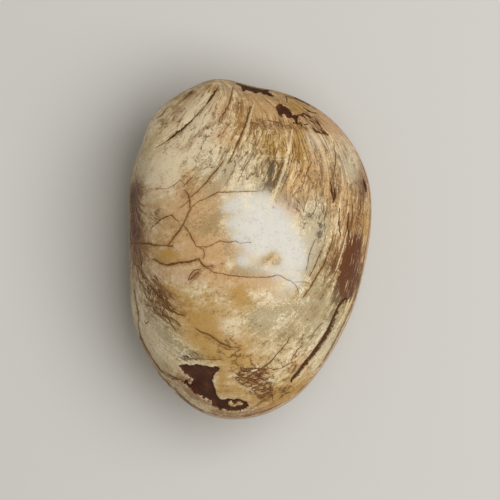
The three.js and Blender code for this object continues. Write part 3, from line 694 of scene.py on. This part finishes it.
# ---- Pale ridges ----
# Where a few growth lines of the shell run between cracks and grooves, the wear scraped them clean
# and pale. They lie all but flush with the stone, so they have colour alone.
RIDGE_LAYERS = 2
RIDGES = [
    (0, 0.26, [(0.5, 30.6), (-0.2, 27.9), (-1.2, 24.7), (-2.4, 21.8)]),
    (1, 0.26, [(8.7, 25.3), (8.1, 22.1), (7.4, 18.6), (6, 14.4), (4.4, 10.2)]),
    (0, 0.14, [(20.4, 4.6), (19.2, 0.1), (17.7, -4.1)]),
    (1, 0.22, [(18.9, 10.9), (18.3, 6.7), (17.7, 3.7)]),
    (0, 0.14, [(5.4, 17.9), (5.2, 16.4), (4.4, 14.6)]),
    (0, 0.22, [(-8.4, 33.6), (-10, 31.4), (-12.4, 29.2)]),
]
SCRAPED = colour(226, 206, 164)
ridge_layers = empty_layers(RIDGE_LAYERS)
for layer, half_width, points in RIDGES:
    lay(ridge_layers, layer, half_width, points, UPPER)
base = mix(base, SCRAPED, drawn(ridge_layers, "ridge") * 0.68)

# ---- Pits and open grooves ----
# Where the shell was pitted, dark mud still fills the bottom of the pits, matt and a little rough,
# because the polish didn't reach it. Grooves stayed open along a few growth lines.
PITS = [
    [(-15.2, -24.3), (-13.1, -24.1), (-11.3, -24), (-9.5, -24.3), (-7.7, -24.5), (-6.5, -25),
     (-7.3, -25.8), (-8, -26.5), (-8.3, -27.4), (-8, -28.3), (-7.6, -29.6), (-7, -30.8),
     (-6.6, -31.4), (-5.4, -31.1), (-3.6, -31.3), (-1.5, -31.4), (-0.4, -33), (-1.5, -33.8),
     (-3.6, -34.1), (-5.4, -33.9), (-6.9, -33.3), (-8.4, -32.5), (-9.9, -31.4), (-11.4, -30.5),
     (-12.9, -29.5), (-13.9, -28.4), (-14.5, -27.7), (-13.5, -27.2), (-13.1, -26.6), (-13.6, -26),
     (-14.3, -25.4)],
    [(-3.2, 35.9), (-1.3, 35.8), (0.5, 35.4), (2.2, 34.8), (3.6, 34.1), (4.7, 32.7), (3.8, 32.8),
     (3.3, 33.1), (1.9, 33.4), (0.8, 33.2), (0.3, 33.6), (-0.6, 33.8), (-1.7, 34), (-2.6, 34.6)],
    [(5.4, 30.5), (6.1, 30.9), (7, 30.9), (7.8, 30.6), (8.4, 30), (8.6, 29.1), (9.1, 28.6),
     (9.8, 28.5), (9.8, 28.1), (9.7, 27.5), (9.9, 26.9), (9.9, 26.6), (9.3, 26.5), (8.7, 26.5),
     (8.7, 26.9), (9.1, 27.2), (9.1, 27.8), (8.8, 28.2), (8.1, 28.2), (7.7, 28.4), (7.3, 28.7),
     (6.9, 28.6), (6.4, 28.3), (5.9, 28.4), (5.4, 29.1), (5.2, 29.8)],
]
LOWER_PITS = [
    [(5.6, -28), (9, -25.3), (12.4, -24.6), (13, -25.8), (9.6, -28.6), (6.4, -29.2)],
    [(-16, 16.2), (-13.6, 19.8), (-11.4, 19.9), (-12.6, 17.6), (-14.6, 15.6)],
]
OPEN_LAYERS = 3
OPEN_CRACKS = [
    (1, 0.18, [(9.6, 28.5), (10.4, 28.5), (11.1, 28.9), (11.7, 28.7), (12.3, 28.3)]),
    (0, 0.22, [(11.3, 28.8), (11.8, 28.6), (12.2, 28.3)]),
    (2, 0.09, [(10.5, 28.4), (11.2, 28.1), (11.7, 27.6)]),
    (2, 0.13, [(10.2, 27.1), (10.6, 26.8), (10.5, 26.2)]),
    (1, 0.09, [(11.2, 26.5), (12, 26.6)]),
    (2, 0.12, [(13, 28.3), (13.5, 27.9), (13.9, 27.3), (14.4, 26.6), (14.8, 25.9)]),
    (0, 0.14, [(12.6, 27.3), (13.3, 26.9)]),
    (0, 0.2, [(13, 25.7), (13.3, 25.2), (14, 25), (14.6, 24.7)]),
    (2, 0.24, [(14.9, 25.3), (15.4, 25), (16, 24.5)]),
    (0, 0.1, [(14.4, 24.8), (15.4, 24.7)]),
    (1, 0.09, [(7.4, 32.4), (7.6, 31.9), (7.4, 31.2)]),
    (1, 0.1, [(11.1, 30.2), (12.2, 29.5), (13, 29.1), (14.2, 29)]),
    (2, 0.16, [(16.7, 14.2), (16.8, 12.7), (17.1, 10.9)]),
    (0, 0.24, [(17.5, 12.7), (17.6, 11.5), (17.2, 10.4)]),
    (1, 0.24, [(23.8, 14.9), (24.2, 13.8), (24.4, 12.8)]),
    (2, 0.12, [(20.4, 8), (20.3, 5), (20.6, 2.4)]),
    (1, 0.1, [(18.6, 9), (18.4, 6), (18.7, 3)]),
    (2, 0.19, [(-12.4, 27.5), (-13.6, 26.5), (-14.8, 25.4), (-16.1, 24.4), (-17.5, 23.3)]),
    (2, 0.18, [(-7.2, 34.3), (-7.9, 33.1), (-8.6, 32.2), (-9.2, 31.1)]),
]
PIT_ISLANDS = [
    (0.3, [(-4.4, -32.5), (-3.6, -32.7), (-2.7, -32.3), (-1.9, -32.4)]),
    (0.18, [(-9.7, -32.3), (-8.5, -32.1)]),
    (0.12, [(-13.4, -27.5), (-12.8, -27.9), (-12.6, -27.1)]),
]
GROOVES = [
    (0.46, 0.42, [(19.8, -10.6), (18.8, -11.6), (18, -13.4), (17.2, -15.5), (16.5, -17),
                  (15.7, -18.3), (14.8, -19.6), (13.9, -20.9), (13, -22.1), (12.1, -23.1),
                  (10.9, -24.5), (9.7, -26.2), (8.8, -27.3)]),
    (0.03, 0.22, [(-6.9, 35.2), (-7.5, 33.9), (-8.1, 32.7), (-8.8, 31.6), (-9.7, 30.4),
                  (-10.9, 28.9), (-12.1, 27.7), (-13.6, 26.5), (-14.9, 25.3), (-16.1, 24.1),
                  (-17.5, 23.1), (-19.3, 22)]),
    (0.02, 0.28, [(-0.1, 31.2), (-0.5, 29), (-1, 27.2), (-1.5, 25.7), (-2.2, 23.9), (-2.8, 22.3),
                  (-3.5, 21.1), (-4.3, 19.9), (-4.8, 19)]),
]  # half width of its mud and its depth, in mm, and the places that it runs through
LOWER_GROOVES = [
    (0.35, 0.35, [(16, -18), (19, -10), (20.5, 0), (20, 9)]),
    (0.25, 0.25, [(-17, 24), (-9, 29), (0, 31)]),
]
GROOVE_SPREAD = 0.45  # mm, the half width of the narrowest groove's dip
PIT_DEPTH = 0.45  # mm
PIT_WALL = (-0.1, 0.35)  # mm inside a pit's edge, where its wall begins and ends
RAGGED = 0.36  # mm, how far a pit's edge strays
PIT_REACH = 2.0  # mm, as far from a pit's edge as its distance is kept
MUD = colour(60, 28, 16)
LIGHT_MUD = colour(94, 52, 32)
GROOVE_MUD = colour(76, 44, 12)


def depth_inside(points):
    """How far each corner is inside a closed outline, in mm, and less than 0 outside it."""
    closed = points + points[:1]
    inside = np.zeros(len(X), bool)
    for (ax, ay), (bx, by) in zip(closed, closed[1:]):
        crosses = (ay > wandered_y) != (by > wandered_y)
        left = (wandered_x - ax) * (by - ay) < (bx - ax) * (wandered_y - ay)
        inside ^= crosses & (left == (by > ay))
    near = line_distance(closed)[1]
    return np.where(inside, near, -near)


pit_depth = np.full(len(X), -PIT_REACH)
for outlines, sided in ((PITS, UPPER), (LOWER_PITS, LOWER)):
    for points in outlines:
        pit_depth = np.where(sided, np.maximum(pit_depth, depth_inside(points)), pit_depth)
for half_width, points in PIT_ISLANDS:
    island_edge = line_distance(points)[1] - half_width
    pit_depth = np.where(UPPER, np.minimum(pit_depth, island_edge), pit_depth)
pit_depth += RAGGED * (noise_at(MM, 0.9, 5.2) + noise_at(MM, 2.2, 1.9))
relief = PIT_DEPTH * soft(pit_depth, *PIT_WALL)

open_layers = empty_layers(OPEN_LAYERS)
for layer, half_width, points in OPEN_CRACKS:
    lay(open_layers, layer, half_width, points, UPPER)
for grooves, sided in ((GROOVES, UPPER), (LOWER_GROOVES, LOWER)):
    for layer, (half_width, depth, points) in enumerate(grooves):
        near = lay(open_layers, layer, half_width, points, sided)
        relief += depth * np.exp(-(near / max(half_width, GROOVE_SPREAD)) ** 2)

muddy = drawn(open_layers, "open")
base = mix(base, GROOVE_MUD, muddy * 0.99)
ragged_depth = keep("pit_depth", np.clip(pit_depth, -PIT_REACH, PIT_REACH))
pit = step(ragged_depth + specks * 0.7 + mottle * 0.8, -0.06, 0.08)
base = mix(base, mix(MUD, LIGHT_MUD, step(mottle + specks * 0.7, -0.02, 0.2)), pit * 0.97)

# ---- The margin ----
# The seam where the valves meet is a fine groove all round, dark with dirt. Just above and below
# it the last growth lines stand close, rosy outside a thin rust-brown line. The rosy band is
# partly their own colour and partly a painted highlight along the outline.
SEAM_DEPTH = 0.4  # mm
SEAM_HALF_WIDTH = 0.2  # mm
SEAM_DIRT_EDGE = (0.36, 0.14)  # mm off the seam over FULLNESS, where its dirt ends and is full
RIM_TURN = math.radians(5)
RIM_FROM_HINGE = (12, 24)  # mm, where the rim's lines begin and are full
RIM_ROSE_AND_HIGHLIGHT = colour(202, 168, 138)
RIM_LINE = colour(112, 70, 48)
SEAM_DIRT = colour(84, 58, 38)
relief += SEAM_DEPTH * np.exp(-(Z / SEAM_HALF_WIDTH) ** 2)

rim_turn = turn + sway * 0.004 + mottle * 0.012
rim_far = step(out, *RIM_FROM_HINGE)
# The rosy band is partly the margin's own colour and partly a painted highlight along the outline.
rosy = step(rim_turn + streaks * 0.05, RIM_TURN, RIM_TURN * 0.7) * rim_far
base = mix(base, RIM_ROSE_AND_HIGHLIGHT, rosy * (0.45 + streaks * 0.8 + specks * 0.5))
rim_line = step((rim_turn - RIM_TURN).math("ABSOLUTE"), 0.014, 0.005) * rim_far
base = mix(base, RIM_LINE, rim_line * step(mottle + bands, -0.12, 0.05) * 0.8)
seam = step(up + mottle * 0.5, *SEAM_DIRT_EDGE)
base = mix(base, SEAM_DIRT, seam * 0.8)

# ---- Relief ----
# The growth lines stand up a few hundredths of a millimetre where the shell is still fibrous, and
# the whole surface dips a little where growth halted. The lower valve's ground flat cuts them off.
HALTS = (9, 22, 37, 54)  # turns, in degrees, where growth halted
HALT_DEPTH = 0.2  # mm
HALT_WIDTH = 3.2  # degrees of turn
HALT_FADE = 60  # degrees of turn over which they fade towards the worn crown
RIDGE_HEIGHT = 0.06  # mm
RIDGES_TO_NOW = 55  # from the beak to the margin
RIDGE_RUN = 0.12  # how little a ridge changes in each mm along it
UNEVENNESS = 0.1  # mm, left in the surface by the tumbling
UNEVEN_LENGTH = 9  # mm
TRUE_MARGIN = 2  # mm off the seam, over which the unevenness comes in

degrees = np.degrees(TURN)
for halt in HALTS:
    relief += HALT_DEPTH * np.exp(-degrees / HALT_FADE - ((degrees - halt) / HALT_WIDTH) ** 2)
grown = np.exp(-GROWTH_RATE * TURN)
along_ridges = np.stack([RIDGES_TO_NOW * grown, PLACE / grown * RIDGE_RUN, Z * 0], axis=1)
ridges = noise_at(along_ridges, 0.9, 2.3) + noise_at(along_ridges, 2.1, 6.4)
relief -= RIDGE_HEIGHT * np.clip(fibrous, 0, 1) * ridges
relief -= UNEVENNESS * noise_at(MM, UNEVEN_LENGTH, 4.4) * (1 - np.exp(-(Z / TRUE_MARGIN) ** 2))

shape = way * (surface - relief)[:, None]
shape[:, 2] = np.maximum(shape[:, 2], floor_height)
shape = (shape + middle) / MM_PER_M
stone.data.vertices.foreach_set("co", shape.ravel())
stone.data.update()
bpy.ops.object.shade_smooth()

# ---- Polish ----
# Tumbling gave the stone a soft gloss over a fine grain. Worn spots, pits and open grooves stayed
# matt.
POLISHED = (
    [(3.6, 4.8, 5.6, 5.4, -30, 0.95), (7.6, -3.8, 2.8, 5.4, -8, 0.95), (-0.4, 8, 3, 3, 0, 0.8),
     (1.6, -3, 2, 3.4, 0, 0.7), (-3, 5.6, 1.4, 0.9, 0, 0.5), (10.2, 5.6, 2.2, 2.6, 0, -0.8),
     (3.2, -1.9, 1.6, 0.9, 10, -0.7), (4.8, -0.8, 1.3, 1.2, 0, -0.7), (5.4, -2.3, 1, 0.9, 0, -0.7)],
    [(-4, -6, 9, 12, 0, 1), (6, 12, 8, 6, 0, 0.6)],
)
GRAIN_HEIGHT = 0.0001  # m
matt = pit.math("MAXIMUM", muddy).math("MAXIMUM", seam)
gloss = keep("polished", stain(*POLISHED)) + mottle * 2.4 + specks * 2.6 + dust * 1.2 + clouds * 0.8
polish = step(gloss, 0.35, 0.75)
height = (
    fibre_share * (hairs * 0.7 + streaks * 0.5) + specks * 0.35 + dust * 0.25
    - cracked * 0.4 - web_line * 0.4 - hair_line * 0.3 - freckled * 0.3 - muddy * 0.8
)
grained = {"Strength": 0.8, "Distance": GRAIN_HEIGHT, "Height": height}
bump = Dye.node("ShaderNodeBump", sockets=grained)
finish = {
    "Base Color": base,
    "Roughness": 0.5 - polish * 0.1 + matt * 0.3 + mottle * 0.2,
    "Normal": bump,
    "Specular IOR Level": 0.13,
    "Coat Weight": (0.02 + polish * 0.3) * (1 - matt),
    "Coat Roughness": 0.14,
}
shader = Dye.node("ShaderNodeBsdfPrincipled", sockets=finish)
Dye.node("ShaderNodeOutputMaterial", sockets={"Surface": shader})

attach(stone, "root")
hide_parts("fossil_clam")

# ---- The studio ----
# A plain pale floor, a soft box above and to the right, and a pale room. The camera looks straight
# down from far above, with the clam's broad end at the top of the picture.
VIEW_ACROSS = 0.1059  # m, what the picture takes in at the seam's height
CAMERA_PLACE = (-0.0001, -0.0002)  # m, off the clam's middle
CAMERA_HEIGHT = 1.1  # m
CAMERA_CLIP = 0.01  # m
BOX_TILT = math.radians(23)  # from straight up, towards +X
BOX_DISTANCE = 0.6  # m
BOX_SIZE = (0.62, 0.5)  # m
BOX_POWER = 3.65  # W
ROOM_LIGHT = 0.31
ROOM_COLOUR = (1, 0.96, 0.89, 1)
FLOOR_SIZE = 4  # m
FLOOR_COLOUR = (0.6, 0.59, 0.56, 1)
FLOOR_ROUGHNESS = 0.9

bpy.ops.mesh.primitive_plane_add(size=FLOOR_SIZE)
floor = bpy.context.object
floor.name = "studio_floor"
floor_material = bpy.data.materials.new("pale_floor")
floor_material.use_nodes = True
floor_shader = floor_material.node_tree.nodes["Principled BSDF"]
floor_shader.inputs["Base Color"].default_value = FLOOR_COLOUR
floor_shader.inputs["Roughness"].default_value = FLOOR_ROUGHNESS
floor.data.materials.append(floor_material)

aim = Vector((0, 0, middle[2] / MM_PER_M))
towards_box = Vector((math.sin(BOX_TILT), 0, math.cos(BOX_TILT)))
bpy.ops.object.light_add(type="AREA", location=aim + towards_box * BOX_DISTANCE)
soft_box = bpy.context.object
soft_box.rotation_euler = towards_box.to_track_quat("Z", "Y").to_euler()
soft_box.visible_camera = False
soft_box.data.shape = "RECTANGLE"
soft_box.data.size, soft_box.data.size_y = BOX_SIZE
soft_box.data.energy = BOX_POWER

room = bpy.data.worlds.new("pale_room")
room.use_nodes = True
room_shader = room.node_tree.nodes["Background"]
room_shader.inputs["Color"].default_value = ROOM_COLOUR
room_shader.inputs["Strength"].default_value = ROOM_LIGHT
bpy.context.scene.world = room
bpy.context.scene.view_settings.view_transform = "Standard"

bpy.ops.object.camera_add(location=(*CAMERA_PLACE, aim.z + CAMERA_HEIGHT))
camera = bpy.context.object
camera.data.angle = 2 * math.atan(VIEW_ACROSS / 2 / CAMERA_HEIGHT)
camera.data.clip_start = CAMERA_CLIP
bpy.context.scene.camera = camera
